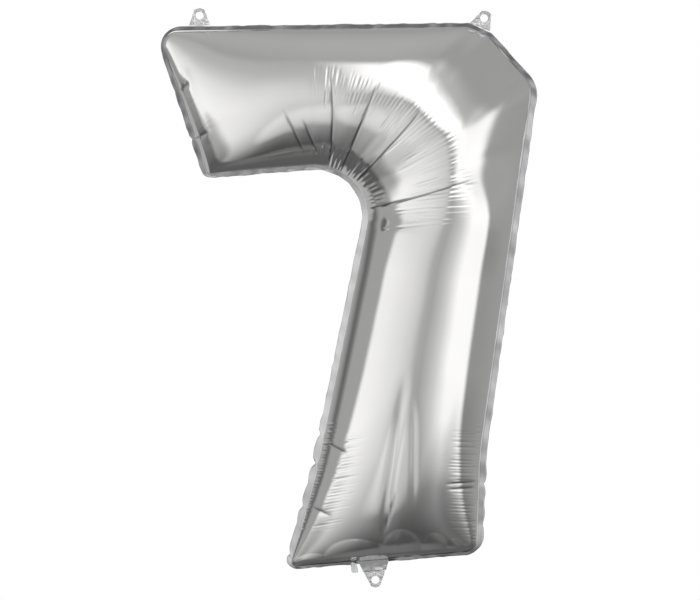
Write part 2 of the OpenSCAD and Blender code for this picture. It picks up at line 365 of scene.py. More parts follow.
@dataclass
class Filling:
    """The film's filled shape, before its creases.

    The reaches are how far the fall to the arm's end and to the foot goes. The cones flatten the section
    inside and outside the bend, the box fills it near the arm's end, and the crest values move its highest
    line sideways.
    """

    outline: Outline
    stations: tuple[int, int, int] = (60, 120, 170)
    columns: int = 110
    arm_depth: float = 103.0
    leg_depth: float = 114.0
    arm_reach: float = 290.0
    foot_reach: float = 290.0
    corner_cone: float = 0.74
    inner_cone: float = 0.12
    crest_shift: float = 0.01
    crest_swing: float = 0.055
    crest_drop: float = 0.2
    end_box: float = 1.3
    sway: float = 0.5
    sway_from: float = 60.0
    fairings: int = 40

    def crest(self, u: np.ndarray, mid: np.ndarray) -> np.ndarray:
        """Depth of the highest line, a quarter ellipse of the distance from the arm's end and from the foot.

        Args:
            u: stations.
            mid: points halfway between the two sides [u, 1, 2].

        Returns:
            Depth at each station.
        """
        crest = self.arm_depth + (self.leg_depth - self.arm_depth) * smooth_step((u - 0.9) / 1.2)
        for end, reach in ((mid[:1], self.arm_reach), (mid[-1:], self.foot_reach)):
            run = np.linalg.norm(mid - end, axis=2)[:, 0]
            crest = crest * np.sqrt(np.clip(1.0 - (1.0 - np.clip(run / reach, 0.0, 1.0)) ** 2, 0.0, 1.0))
        return crest

    def skew(self, u: np.ndarray) -> np.ndarray:
        """How far the highest line stands off the middle: in along the arm and at the corner, out after it.

        Args:
            u: stations.

        Returns:
            The shift at each station, as a share of the width.
        """
        at_corner = self.crest_shift * window(u, 1.44, 1.56, 0.2)
        after_corner = self.crest_swing * window(u, 1.74, 1.86, 0.26)
        return at_corner - after_corner + self.crest_drop * (1.0 - smooth_step(u / 1.05))

    def power(self, u: np.ndarray, s: np.ndarray) -> np.ndarray:
        """The section's power: 2 is round, less is a flatter cone, more is a fuller box.

        Args:
            u: stations.
            s: places across, from -1 on the inner side to 1 on the outer one [u, v].

        Returns:
            The power at each place.
        """
        outside = window(u, 1.46, 1.74, 0.22)[:, None]
        inside = window(u, 1.2, 1.78, 0.3)[:, None]
        near_end = (1.0 - smooth_step(u / 0.9))[:, None]
        power = 2.0 - np.where(s > 0.0, self.corner_cone * outside, self.inner_cone * inside)
        return power + np.where(s > 0.0, 0.0, self.end_box * near_end)

    def shape(self) -> np.ndarray:
        """Depth over the sealed figure, worked out on an even grid.

        Across the figure the depth is crest (1 - |s|^p)^(1/p), where s runs from -1 on the inner side to 1
        on the outer one and p is the section's power. A slow sway of smooth noise goes on top, away from
        the rim.

        Returns:
            Points [3, i, j], Y as depth.
        """
        patch = Patch(self.outline, self.outline.seam_w)
        parts = [k + np.linspace(0.0, 1.0, count + 1)[:-1] for k, count in enumerate(self.stations)]
        u = np.concatenate([*parts, [3.0]])
        w = (1.0 - np.cos(np.pi * np.linspace(0.0, 1.0, self.columns + 1))) / 2.0
        p = patch.grid(u, w)
        crest = self.crest(u, (p[:, :1] + p[:, -1:]) / 2.0)
        shifted = w[None] + 4.0 * self.skew(u)[:, None] * (w * (1.0 - w))[None]
        s = 2.0 * shifted - 1.0
        power = self.power(u, s)
        y = crest[:, None] * np.clip(1.0 - np.abs(s) ** power, 0.0, 1.0) ** (1.0 / power)
        x, z = p[..., 0], p[..., 1]
        inward = np.clip(y / self.sway_from, 0.0, 1.0) ** 2
        y = y + inward * self.sway * (lattice_noise(x, z, 90.0, 51) + 0.5 * lattice_noise(x, z, 47.0, 52))
        return self.fair(np.stack([x, y, z]), self.fairings)

    @staticmethod
    def fair(p: np.ndarray, rounds: int) -> np.ndarray:
        """Takes short kinks out without shrinking the shape: a smoothing step, then a larger one back.

        Args:
            p: points [3, i, j], whose four rims stay.
            rounds: how many pairs of steps.

        Returns:
            The faired points.
        """
        for _ in range(rounds):
            for gain in (0.25, -0.26):
                q = p.copy()
                q[:, 1:-1] += gain * ((p[:, 2:] + p[:, :-2]) / 2.0 - p[:, 1:-1])
                q[:, :, 1:-1] += gain * ((p[:, :, 2:] + p[:, :, :-2]) / 2.0 - p[:, :, 1:-1])
                q[:, :, 0], q[:, :, -1], q[:, 0], q[:, -1] = p[:, :, 0], p[:, :, -1], p[:, 0], p[:, -1]
                p = q
        return p


def normals(p: np.ndarray) -> np.ndarray:
    """Unit normals of a film grid, on the side where depth grows: the cross product of its two tangents.

    Args:
        p: points [3, i, j].

    Returns:
        The normals, in the same shape.
    """
    du, dv = np.empty_like(p), np.empty_like(p)
    du[:, 1:-1] = p[:, 2:] - p[:, :-2]
    du[:, 0], du[:, -1] = p[:, 1] - p[:, 0], p[:, -1] - p[:, -2]
    dv[:, :, 1:-1] = p[:, :, 2:] - p[:, :, :-2]
    dv[:, :, 0], dv[:, :, -1] = p[:, :, 1] - p[:, :, 0], p[:, :, -1] - p[:, :, -2]
    across = du[1] * dv[2] - du[2] * dv[1]
    depth = du[2] * dv[0] - du[0] * dv[2]
    up = du[0] * dv[1] - du[1] * dv[0]
    n = np.stack([across, depth, up])
    n /= np.sqrt((n**2).sum(0)) + 1e-9
    return n if float(n[1].mean()) > 0.0 else -n


def spline(p: np.ndarray, axis: int, t: np.ndarray) -> np.ndarray:
    """Uniform cubic B-spline through a grid along one axis, held at its two end points.

    Args:
        p: control points, any shape.
        axis: the axis to resample.
        t: positions along it, in steps of the grid.

    Returns:
        The grid with that axis resampled at t.
    """
    p = np.moveaxis(p, axis, -1)
    n = p.shape[-1]
    pad = np.concatenate([2 * p[..., :1] - p[..., 1:2], p, 2 * p[..., -1:] - p[..., -2:-1]], -1)
    i = np.minimum(t.astype(int), n - 2)
    f = t - i
    first = (1 - f) ** 3 / 6
    second = (3 * f**3 - 6 * f**2 + 4) / 6
    third = (-3 * f**3 + 3 * f**2 + 3 * f + 1) / 6
    out = sum(w * pad[..., i + k] for k, w in enumerate((first, second, third, f**3 / 6)))
    return np.moveaxis(out, -1, axis)


# ---------------------------------------------------------------- creases laid on the film


@dataclass(frozen=True)
class Fold:
    """A crease in the figure's plane: a valley between two points, which runs out over fade at both ends.

    Its nick is a narrow cut along its line. Without one the valley's bottom is round.
    """

    x0: float
    z0: float
    x1: float
    z1: float
    depth: float
    width: float
    nick: float = 0.0
    fade: float = 25.0


@dataclass(frozen=True)
class Gather:
    """A row of fine ripples between two places of one coordinate, running from near to far along another."""

    low: float
    high: float
    pitch: float
    height: float
    near: float
    far: float
    fade: float
    seed: int


@dataclass(frozen=True)
class Spoke:
    """A long crease across the bend, in degrees about the inside corner's centre at its two ends."""

    inner_turn: float
    outer_turn: float
    outer_reach: float


@dataclass(frozen=True)
class Lobe:
    """A small pillow against the foot's seam: its place along the foot, half width, height and swell."""

    centre: float
    half: float
    rise: float
    swell: float


@dataclass
class Creasing:
    """All the folds, gathers and lobes of one sheet, in the figure's plane, and the welt at the arm's end.

    The facets between the spokes rise by bulge and their edges lie lower by valley, both as shares of
    facet. They start at facet_start from the inside corner's centre, reach full height over facet_rise and
    die out over facet_fall.
    """

    outline: Outline
    spokes: tuple[Spoke, ...] = (
        Spoke(76.4, 84.1, 212.0),
        Spoke(61.7, 65.0, 216.0),
        Spoke(40.9, 45.0, 228.0),
        Spoke(8.5, 13.1, 248.0),
    )
    facet: float = 1.25
    bulge: float = 0.75
    valley: float = 0.5
    first_facet: float = 17.0
    last_facet: float = 15.0
    end_facet_reach: float = 200.0
    spoke_inner: float = 92.0
    facet_start: float = 72.0
    facet_rise: float = 62.0
    facet_fall: float = 70.0
    nick: float = 0.55
    nick_start: float = 82.0
    welt: float = 1.3
    welt_inset: float = 25.0
    welt_width: float = 6.5
    folds: tuple[Fold, ...] = (
        Fold(-141.0, 714.0, -105.0, 641.0, 0.35, 5.0, 0.3),
        Fold(-112.0, 700.0, -86.0, 641.0, 0.35, 5.0, 0.3),
        Fold(-77.0, 212.0, -40.0, 193.0, 0.6, 5.0, 0.25, 14.0),
        Fold(-99.0, 114.0, -66.0, 98.0, 0.7, 5.0, 0.3, 14.0),
        Fold(103.0, 147.0, 157.0, 151.0, 0.45, 3.0, 0.2, 14.0),
        Fold(105.0, 139.0, 155.0, 142.0, 0.4, 3.0, 0.15, 14.0),
        Fold(47.0, 330.0, 7.0, 55.0, 2.3, 9.0, 0.0, 80.0),
        Fold(57.0, 290.0, 57.0, 100.0, 1.0, 5.5, 0.0, 60.0),
        Fold(31.0, 140.0, 8.0, 62.0, 0.8, 4.0, 0.3, 30.0),
        Fold(128.0, 676.0, 205.0, 752.0, 1.5, 15.0, 0.0, 40.0),
        Fold(-299.0, 741.0, -280.0, 755.0, 1.6, 5.0, 0.5, 7.0),
        Fold(-276.0, 668.0, -252.0, 679.0, 1.6, 5.0, 0.5, 7.0),
    )
    fan_high: Gather = Gather(44.0, 90.0, 1.62, 0.34, 160.0, 210.0, 16.0, 11)
    fan_low: Gather = Gather(1.0, 46.0, 1.62, 0.6, 150.0, 230.0, 18.0, 21)
    crook_pleats: Gather = Gather(16.0, 84.0, 4.1, 1.7, 70.0, 101.0, 9.0, 12)
    below_spoke: Gather = Gather(535.0, 565.0, 6.2, 0.3, 45.0, 150.0, 16.0, 13)
    foot_left: Gather = Gather(98.0, 222.0, 4.5, 0.42, 26.0, 60.0, 12.0, 14)
    foot_right: Gather = Gather(80.0, 228.0, 4.9, 0.26, 9.0, 46.0, 12.0, 15)
    seam_left: Gather = Gather(66.0, 236.0, 4.1, 0.6, 4.0, 15.0, 6.0, 19)
    seam_right: Gather = Gather(60.0, 236.0, 4.6, 0.5, 2.0, 13.0, 6.0, 20)
    foot_hem: Gather = Gather(18.0, 78.0, 4.4, 0.22, 6.0, 44.0, 9.0, 16)
    arm_hem: Gather = Gather(82.0, 188.0, 5.0, 0.42, 12.0, 32.0, 8.0, 17)
    crown_hem: Gather = Gather(14.0, 98.0, 5.2, 0.6, 7.0, 26.0, 9.0, 18)
    lobes: tuple[Lobe, ...] = (
        Lobe(-92.0, 28.0, 14.0, 1.3),
        Lobe(-30.0, 47.0, 32.0, 3.0),
        Lobe(43.0, 33.0, 41.0, 2.3),
        Lobe(92.0, 22.0, 31.0, 1.7),
        Lobe(124.0, 14.0, 20.0, 1.2),
    )

    def turn_and_reach(self, x: np.ndarray, z: np.ndarray) -> tuple[np.ndarray, np.ndarray]:
        """Angle in degrees and distance of points about the centre of the inside corner."""
        c = self.outline.crook_centre()
        return np.degrees(np.arctan2(z - c[1], x - c[0])), np.hypot(x - c[0], z - c[1])

    def spoke_lines(self, reach: np.ndarray) -> list[np.ndarray]:
        """The angle of each facet's edge at a distance from the inside corner, with one line past each end.

        Args:
            reach: distance from the inside corner's centre.

        Returns:
            The angles, each the size of reach, from the arm's side to the leg's.
        """
        lines = []
        for s in self.spokes:
            share = np.clip((reach - self.spoke_inner) / (s.outer_reach - self.spoke_inner), -0.2, 1.3)
            lines.append(s.inner_turn + (s.outer_turn - s.inner_turn) * share)
        return [lines[0] + self.first_facet, *lines, lines[-1] - self.last_facet]

    def facets(self, turn: np.ndarray, reach: np.ndarray) -> tuple[np.ndarray, np.ndarray]:
        """Swell of the film between the spokes, and the painted shade along them.

        Between two spokes the film bulges as q(1 - q) of the share q of the angle between them, so that it
        meets the next facet at a sharp valley, and the bulge dies out towards the spokes' outer ends. The
        outermost facets only dip towards their spoke.

        Args:
            turn: angle about the inside corner.
            reach: distance from its centre.

        Returns:
            Height to add along the normal, and the share of painted shade along the spokes' creases, both the size
            of turn.
        """
        lines = self.spoke_lines(reach)
        ends = [self.end_facet_reach, *[s.outer_reach for s in self.spokes], self.end_facet_reach]
        last = len(lines) - 2
        height, fold_shade_mask = np.zeros_like(turn), np.zeros_like(turn)
        for k in range(last + 1):
            high, low = lines[k], lines[k + 1]
            q = (turn - low) / (high - low)
            held = np.clip(q, 0.0, 1.0)
            end = ends[k + 1] * (1.0 - held) + ends[k] * held
            rise = smooth_step((reach - self.facet_start) / self.facet_rise)
            fall = smooth_step((end + 6.0 - reach) / self.facet_fall) * rise
            if k in (0, last):
                lift = -self.valley * np.clip(q if k == last else 1.0 - q, 0.0, 1.0) ** 4
            else:
                lift = 4.0 * q * (1.0 - q) * self.bulge - self.valley
            height += np.where((q >= 0.0) & (q < 1.0), self.facet * fall * lift, 0.0)
        for k, s in enumerate(self.spokes):
            off = np.radians(np.abs(turn - lines[k + 1])) * reach
            fall = smooth_step((s.outer_reach - reach) / 22.0) * smooth_step((reach - self.nick_start) / 8.0)
            line = np.exp(-((off / LINE_WIDTH) ** 2)) * fall
            height -= self.nick * line
            # Painted shade: each spoke's nicked line is darkened in colour.
            fold_shade_mask = np.maximum(fold_shade_mask, line)
        return height, fold_shade_mask

    @staticmethod
    def ripple(place: np.ndarray, reach: np.ndarray, g: Gather) -> np.ndarray:
        """Fine ripples: a cosine of the place, each wave with a height and an inner end of its own.

        Args:
            place: the coordinate the ripples are counted along.
            reach: the coordinate they run along.
            g: the gather.

        Returns:
            Height to add along the normal.
        """
        rng = np.random.default_rng(g.seed)
        count = int((g.high - g.low) / g.pitch) + 8
        size = rng.uniform(0.25, 1.0, count) * np.where(rng.random(count) < 0.2, 0.35, 1.0)
        start = g.near + rng.uniform(-0.25, 0.45, count) * (g.far - g.near) * 0.8
        stop = g.far + rng.uniform(-0.12, 0.12, count) * (g.far - g.near)
        knots = np.linspace(g.low - 3 * g.pitch, g.high + 3 * g.pitch, count)
        shift = np.interp(place, knots, rng.uniform(-0.35, 0.35, count))
        phase = (place - g.low) / g.pitch + 3.0 + shift
        k = np.clip(phase.astype(int), 0, count - 1)
        wave = 0.5 - 0.5 * np.cos(2.0 * np.pi * phase)
        lane = smooth_step((reach - start[k]) / g.fade) * smooth_step((stop[k] - reach) / g.fade + 1.0)
        return g.height * size[k] * wave * lane * window(place, g.low, g.high, 2.5 * g.pitch)

    @staticmethod
    def fold(x: np.ndarray, z: np.ndarray, f: Fold) -> tuple[np.ndarray, np.ndarray]:
        """A valley -depth exp(-|t| / width) at distance t from the fold's line, with a nick along the line.

        A fold without a nick is round: -depth / (1 + (t / width)^2)^1.5.

        Args:
            x: points across.
            z: points up.
            f: the fold.

        Returns:
            Height to add along the normal, and the mask of the folded line.
        """
        span = math.hypot(f.x1 - f.x0, f.z1 - f.z0)
        ex, ez = (f.x1 - f.x0) / span, (f.z1 - f.z0) / span
        s = (x - f.x0) * ex + (z - f.z0) * ez
        t = np.abs((z - f.z0) * ex - (x - f.x0) * ez)
        lane = smooth_step(s / f.fade) * smooth_step((span - s) / f.fade)
        if f.nick <= 0.0:
            return -f.depth * lane / (1.0 + (t / f.width) ** 2) ** 1.5, np.zeros_like(x)
        line = np.exp(-((t / LINE_WIDTH) ** 2)) * lane
        return -f.depth * lane * np.exp(-t / f.width) - f.nick * line, line

    def lobing(self, x: np.ndarray, z: np.ndarray) -> np.ndarray:
        """Pillows along the foot's seam: swell (1 - r^2)^0.8 inside each lobe's ellipse, r = 1 on its rim.

        Args:
            x: points across.
            z: points up.

        Returns:
            Height to add along the normal.
        """
        s = self.down_edge(x, z, Corner.FOOT_LEFT) - self.outline.foot_left_len
        h = self.off_edge(x, z, Corner.FOOT_LEFT) - self.outline.seam_w
        height = np.zeros_like(x)
        for lobe in self.lobes:
            r2 = ((s - lobe.centre) / lobe.half) ** 2 + (h / lobe.rise) ** 2
            pillow = lobe.swell * np.clip(1.0 - r2, 0.0, 1.0) ** 0.8
            height = np.maximum(height, pillow * smooth_step(h / 7.0))
        return height

    def gathers(self, x: np.ndarray, z: np.ndarray) -> np.ndarray:
        """All the rows of ripples, each along and across an edge of the outline or about the inside corner.

        Args:
            x: points across.
            z: points up.

        Returns:
            Height to add along the normal.
        """
        turn, reach = self.turn_and_reach(x, z)
        left, right = self.off_edge(x, z, Corner.WAIST_LEFT), self.off_edge(x, z, Corner.FOOT_RIGHT)
        along_foot = self.down_edge(x, z, Corner.FOOT_LEFT) - self.outline.foot_left_len
        end, down_end = self.off_edge(x, z, Corner.ARM_TOP), self.down_edge(x, z, Corner.ARM_TOP)
        rows = (
            (turn, reach, self.fan_high),
            (turn, reach, self.fan_low),
            (turn, reach, self.crook_pleats),
            (z - 0.2 * x, left, self.foot_left),
            (z + 0.06 * x, right, self.foot_right),
            (z - 0.1 * x, self.off_edge(x, z, Corner.CROOK), self.below_spoke),
            (z, left, self.seam_left),
            (z, right, self.seam_right),
            (along_foot, self.off_edge(x, z, Corner.FOOT_LEFT), self.foot_hem),
            (down_end + 0.5 * end, end, self.arm_hem),
            (self.down_edge(x, z, Corner.CROWN), self.off_edge(x, z, Corner.CROWN), self.crown_hem),
        )
        return -sum(self.ripple(place, run, gather) for place, run, gather in rows)

    def arm_welt(self, x: np.ndarray, z: np.ndarray) -> np.ndarray:
        """A raised welt beside the arm's end: a bell over the distance from that edge, along part of it.

        Args:
            x: points across.
            z: points up.

        Returns:
            Height to add along the normal.
        """
        off = (self.off_edge(x, z, Corner.ARM_TOP) - self.welt_inset) / self.welt_width
        return self.welt * np.exp(-(off**2)) * window(self.down_edge(x, z, Corner.ARM_TOP), 92.0, 178.0, 22.0)

    def lay(self, p: np.ndarray) -> tuple[np.ndarray, np.ndarray]:
        """Adds every crease to a faired film.

        Args:
            p: film points [3, i, j], in millimetres, Y as depth.

        Returns:
            The creased points, and the fold mask [i, j].
        """
        x, z = p[0], p[2]
        height, fold_shade_mask = self.facets(*self.turn_and_reach(x, z))
        for f in self.folds:
            valley, line = self.fold(x, z, f)
            # Painted shade along each nicked fold's line, as well as its valley.
            height, fold_shade_mask = height + valley, np.maximum(fold_shade_mask, line)
        height = height + self.gathers(x, z) + self.arm_welt(x, z) + self.lobing(x, z)
        return p + normals(p) * height, fold_shade_mask

    def off_edge(self, x: np.ndarray, z: np.ndarray, i: int) -> np.ndarray:
        """Distance of points inwards from the outline's edge i."""
        e, c = self.outline.edge(i), self.outline.corners[i]
        return (z - c[1]) * e[0] - (x - c[0]) * e[1]

    def down_edge(self, x: np.ndarray, z: np.ndarray, i: int) -> np.ndarray:
        """Distance of points along the outline's edge i, from the corner where it starts."""
        e, c = self.outline.edge(i), self.outline.corners[i]
        return (x - c[0]) * e[0] + (z - c[1]) * e[1]


# ---------------------------------------------------------------- meshes


def grid_mesh(
    name: str, p: np.ndarray, close_u: bool = False, close_v: bool = False, flip: bool = False
) -> bpy.types.Object:
    """A mesh object from a grid of points, with a quad between each four neighbours and UVs along the grid.

    Args:
        name: the object's name.
        p: points [3, i, j] in millimetres.
        close_u: joins the last row to the first.
        close_v: joins the last column to the first.
        flip: turns the faces over.

    Returns:
        The object, at the origin, smooth shaded.
    """
    _, ni, nj = p.shape
    i = np.arange(ni if close_u else ni - 1)
    j = np.arange(nj if close_v else nj - 1)
    i0, j0 = np.meshgrid(i, j, indexing="ij")
    i1, j1 = (i0 + 1) % ni, (j0 + 1) % nj
    quads = np.stack([i0 * nj + j0, i1 * nj + j0, i1 * nj + j1, i0 * nj + j1], -1).reshape(-1, 4)
    uv_u = np.stack([i0, i0 + 1, i0 + 1, i0], -1) / max(ni - 1, 1)
    uv_v = np.stack([j0, j0, j0 + 1, j0 + 1], -1) / max(nj - 1, 1)
    uv = np.stack([uv_u, uv_v], -1).reshape(-1, 4, 2)
    if flip:
        quads, uv = quads[:, ::-1], uv[:, ::-1]
    points = np.moveaxis(p, 0, -1).reshape(-1, 3) * MM
    mesh = bpy.data.meshes.new(name)
    mesh.vertices.add(len(points))
    mesh.vertices.foreach_set("co", points.astype(np.float32).ravel())
    mesh.loops.add(quads.size)
    mesh.loops.foreach_set("vertex_index", quads.astype(np.int32).ravel())
    mesh.polygons.add(len(quads))
    mesh.polygons.foreach_set("loop_start", np.arange(0, quads.size, 4, dtype=np.int32))
    mesh.polygons.foreach_set("use_smooth", np.ones(len(quads), dtype=bool))
    mesh.update(calc_edges=True)
    layer = mesh.uv_layers.new(name="UVMap")
    layer.data.foreach_set("uv", uv.astype(np.float32).ravel())
    mesh.validate()
    piece = bpy.data.objects.new(name, mesh)
    bpy.context.scene.collection.objects.link(piece)
    return piece


def set_value(piece: bpy.types.Object, name: str, values: np.ndarray) -> None:
    """Writes one number a point into a mesh attribute."""
    attribute = piece.data.attributes.new(name, "FLOAT", "POINT")
    attribute.data.foreach_set("value", values.astype(np.float32).ravel())


# ---------------------------------------------------------------- finishes

COLOR_A, COLOR_B, COLOR_RESULT = 6, 7, 2
FLOAT_A, FLOAT_B = 2, 3


class Nodes:
    """Short hand for building a node tree."""

    def __init__(self, tree: bpy.types.NodeTree) -> None:
        """Keeps the tree."""
        self.tree = tree

    def add(self, kind: str, **values: object) -> bpy.types.Node:
        """A node of a kind, with its plain properties set.

        Args:
            kind: the node's type name.
            values: the properties.

        Returns:
            The node.
        """
        node = self.tree.nodes.new(kind)
        for key, value in values.items():
            setattr(node, key, value)
        return node

    def link(self, a: bpy.types.NodeSocket, b: bpy.types.NodeSocket) -> None:
        """Joins an output to an input."""
        self.tree.links.new(a, b)

    def math(self, operation: str, *parts: object) -> bpy.types.NodeSocket:
        """A Math node over numbers and sockets.

        Args:
            operation: the node's operation.
            parts: its inputs in order.

        Returns:
            Its output.
        """
        node = self.add("ShaderNodeMath", operation=operation)
        for k, part in enumerate(parts):
            if isinstance(part, (int, float)):
                node.inputs[k].default_value = float(part)
            else:
                self.link(part, node.inputs[k])
        return node.outputs[0]

    def product(self, *parts: object) -> bpy.types.NodeSocket:
        """Numbers and sockets multiplied one after another.

        Args:
            parts: two or more of them.

        Returns:
            The product's socket.
        """
        total = parts[0]
        for part in parts[1:]:
            total = self.math("MULTIPLY", total, part)
        return total

    def fade(self, source: bpy.types.NodeSocket, low: float, high: float) -> bpy.types.NodeSocket:
        """A smooth rise of a socket's value from 0 at low to 1 at high.

        Args:
            source: the value.
            low: where the rise starts.
            high: where it ends.

        Returns:
            The risen value.
        """
        node = self.add("ShaderNodeMapRange", interpolation_type="SMOOTHSTEP")
        node.inputs["From Min"].default_value, node.inputs["From Max"].default_value = low, high
        self.link(source, node.inputs["Value"])
        return node.outputs[0]

    def blend(self, share: bpy.types.NodeSocket, *ends: bpy.types.NodeSocket) -> bpy.types.NodeSocket:
        """A value between two others.

        Args:
            share: 0 for the first, 1 for the second.
            ends: the two values.

        Returns:
            The blended value.
        """
        node = self.add("ShaderNodeMix", data_type="FLOAT")
        self.link(share, node.inputs[0])
        self.link(ends[0], node.inputs[FLOAT_A])
        self.link(ends[1], node.inputs[FLOAT_B])
        return node.outputs[0]

    def ramp(self, source: bpy.types.NodeSocket, stops: Stops) -> bpy.types.NodeSocket:
        """A grey ramp, straight between its stops.

        Args:
            source: the place, from -1 to 1.
            stops: pairs of place and brightness.

        Returns:
            The brightness.
        """
        place = self.add("ShaderNodeMapRange")
        place.inputs["From Min"].default_value, place.inputs["From Max"].default_value = -1.0, 1.0
        self.link(source, place.inputs["Value"])
        node = self.add("ShaderNodeValToRGB")
        node.color_ramp.interpolation = "LINEAR"
        elements = node.color_ramp.elements
        elements[0].position, elements[1].position = (stops[0][0] + 1.0) / 2.0, (stops[-1][0] + 1.0) / 2.0
        for where, _ in stops[1:-1]:
            elements.new((where + 1.0) / 2.0)
        for element, (_, level) in zip(elements, stops):
            element.color = (level, level, level, 1.0)
        self.link(place.outputs[0], node.inputs["Fac"])
        return node.outputs["Color"]


class FilmGroups:
    """The shader node groups that more than one finish uses."""

    _made: dict[str, bpy.types.NodeTree] = {}

    @classmethod
    def handling(cls) -> bpy.types.NodeTree:
        """Fine handling marks of thin film: crinkle height and a haze that changes over the surface.

        Two noises, one of a set fine size and one broad, give the Height. The broad one alone, between a
        low and a high value, gives the Roughness.

        Returns:
            The group's tree.
        """
        if "handling" in cls._made:
            return cls._made["handling"]
        tree = bpy.data.node_groups.new("film handling", "ShaderNodeTree")
        for name, value in (("Crinkle Size", 120.0), ("Haze Low", 0.1), ("Haze High", 0.16)):
            socket = tree.interface.new_socket(name, in_out="INPUT", socket_type="NodeSocketFloat")
            socket.default_value = value
        tree.interface.new_socket("Height", in_out="OUTPUT", socket_type="NodeSocketFloat")
        tree.interface.new_socket("Roughness", in_out="OUTPUT", socket_type="NodeSocketFloat")
        n = Nodes(tree)
        give, take = n.add("NodeGroupInput"), n.add("NodeGroupOutput")
        where = n.add("ShaderNodeTexCoord")
        fine = n.add("ShaderNodeTexNoise")
        fine.inputs["Detail"].default_value = 3.0
        n.link(where.outputs["Object"], fine.inputs["Vector"])
        n.link(give.outputs["Crinkle Size"], fine.inputs["Scale"])
        broad = n.add("ShaderNodeTexNoise")
        broad.inputs["Scale"].default_value = 9.0
        broad.inputs["Detail"].default_value = 4.0
        n.link(where.outputs["Object"], broad.inputs["Vector"])
        crinkle = n.math("MULTIPLY", fine.outputs["Fac"], 0.35)
        dents = n.math("MULTIPLY", broad.outputs["Fac"], 0.65)
        n.link(n.math("ADD", crinkle, dents), take.inputs["Height"])
        haze = n.add("ShaderNodeMapRange")
        haze.inputs["From Min"].default_value, haze.inputs["From Max"].default_value = 0.35, 0.65
        n.link(broad.outputs["Fac"], haze.inputs["Value"])
        n.link(give.outputs["Haze Low"], haze.inputs["To Min"])
        n.link(give.outputs["Haze High"], haze.inputs["To Max"])
        n.link(haze.outputs[0], take.inputs["Roughness"])
        cls._made["handling"] = tree
        return tree


@dataclass(frozen=True)
class Finish:
    """A film's finish: its colours, metal, haze, the crinkles' fineness and height in metres, and alpha.

    The second colour is painted by the mesh's fold attribute where the finish asks for it: painted shade along the
    film's creases, painted light along stretches of the seam. Elsewhere it shows as random tone in the handling
    marks.
    """

    name: str
    color: tuple[float, float, float]
    painted_light_and_mark_color: tuple[float, float, float]
    metallic: float
    haze: tuple[float, float]
    crinkle: float
    bump: float
    alpha: float = 1.0
    uses_painted_light_attribute: bool = False

    def material(self) -> bpy.types.Material:
        """Builds the material: one Principled shader fed by the handling group and, where set, by the painted
        shade and light in the mesh's fold attribute.

        Returns:
            The material, made once.
        """
        known = bpy.data.materials.get(self.name)
        if known:
            return known
        material = bpy.data.materials.new(self.name)
        material.use_nodes = True
        tree = material.node_tree
        tree.nodes.clear()
        n = Nodes(tree)
        out = n.add("ShaderNodeOutputMaterial")
        shader = n.add("ShaderNodeBsdfPrincipled")
        n.link(shader.outputs[0], out.inputs["Surface"])
        shader.inputs["Metallic"].default_value = self.metallic
        shader.inputs["Alpha"].default_value = self.alpha
        handling = n.add("ShaderNodeGroup", node_tree=FilmGroups.handling())
        handling.inputs["Crinkle Size"].default_value = self.crinkle
        handling.inputs["Haze Low"].default_value, handling.inputs["Haze High"].default_value = self.haze
        n.link(handling.outputs["Roughness"], shader.inputs["Roughness"])
        bump = n.add("ShaderNodeBump")
        bump.inputs["Strength"].default_value = 1.0
        bump.inputs["Distance"].default_value = self.bump
        n.link(handling.outputs["Height"], bump.inputs["Height"])
        n.link(bump.outputs[0], shader.inputs["Normal"])
        tone = n.add("ShaderNodeMix", data_type="RGBA")
        tone.inputs[COLOR_A].default_value = (*self.color, 1.0)
        tone.inputs[COLOR_B].default_value = (*self.painted_light_and_mark_color, 1.0)
        # Where set, the fold attribute paints the base colour: painted shade in the film's creases, painted light
        # on stretches of the seam.
        if self.uses_painted_light_attribute:
            fold = n.add("ShaderNodeAttribute", attribute_name="fold")
            n.link(fold.outputs["Fac"], tone.inputs[0])
        else:
            n.link(n.math("MULTIPLY", handling.outputs["Height"], 0.5), tone.inputs[0])
        n.link(tone.outputs[COLOR_RESULT], shader.inputs["Base Color"])
        return material

    def dress(self, piece: bpy.types.Object) -> None:
        """Puts the finish on a piece.

        Args:
            piece: the piece.
        """
        piece.data.materials.clear()
        piece.data.materials.append(self.material())


SILVER = Finish(
    "silver foil",
    color=(0.938, 0.932, 0.925),
    # Painted shade: the dark colour laid along the creases.
    painted_light_and_mark_color=(0.30, 0.30, 0.31),
    metallic=1.0,
    haze=(0.07, 0.11),
    crinkle=160.0,
    bump=0.00006,
    uses_painted_light_attribute=True,
)
SEAM = Finish(
    "sealed seam foil",
    color=(0.3, 0.3, 0.31),
    # Painted light: the pale colour laid on the lighter stretches of the seam.
    painted_light_and_mark_color=(0.95, 0.95, 0.95),
    metallic=1.0,
    haze=(0.14, 0.22),
    crinkle=260.0,
    bump=0.0002,
    uses_painted_light_attribute=True,
)
NECK = Finish(
    "neck foil",
    color=(0.62, 0.62, 0.63),
    painted_light_and_mark_color=(0.4, 0.4, 0.41),
    metallic=1.0,
    haze=(0.18, 0.28),
    crinkle=160.0,
    bump=0.0002,
)
CLEAR = Finish(
    "clear valve film",
    color=(0.93, 0.94, 0.95),
    painted_light_and_mark_color=(0.6, 0.61, 0.63),
    metallic=0.3,
    haze=(0.1, 0.2),
    crinkle=220.0,
    bump=0.0008,
    alpha=0.8,
)
TAB = Finish(
    "creased tab film",
    color=(0.86, 0.86, 0.87),
    painted_light_and_mark_color=(0.5, 0.5, 0.51),
    metallic=0.8,
    haze=(0.08, 0.16),
    crinkle=90.0,
    bump=0.00025,
    alpha=0.6,
)
PRINT = Finish(
    "release print",
    color=(0.66, 0.72, 0.79),
    painted_light_and_mark_color=(0.58, 0.64, 0.72),
    metallic=0.0,
    haze=(0.55, 0.7),
    crinkle=300.0,
    bump=0.00005,
)


# ---------------------------------------------------------------- the balloon's sub-assemblies


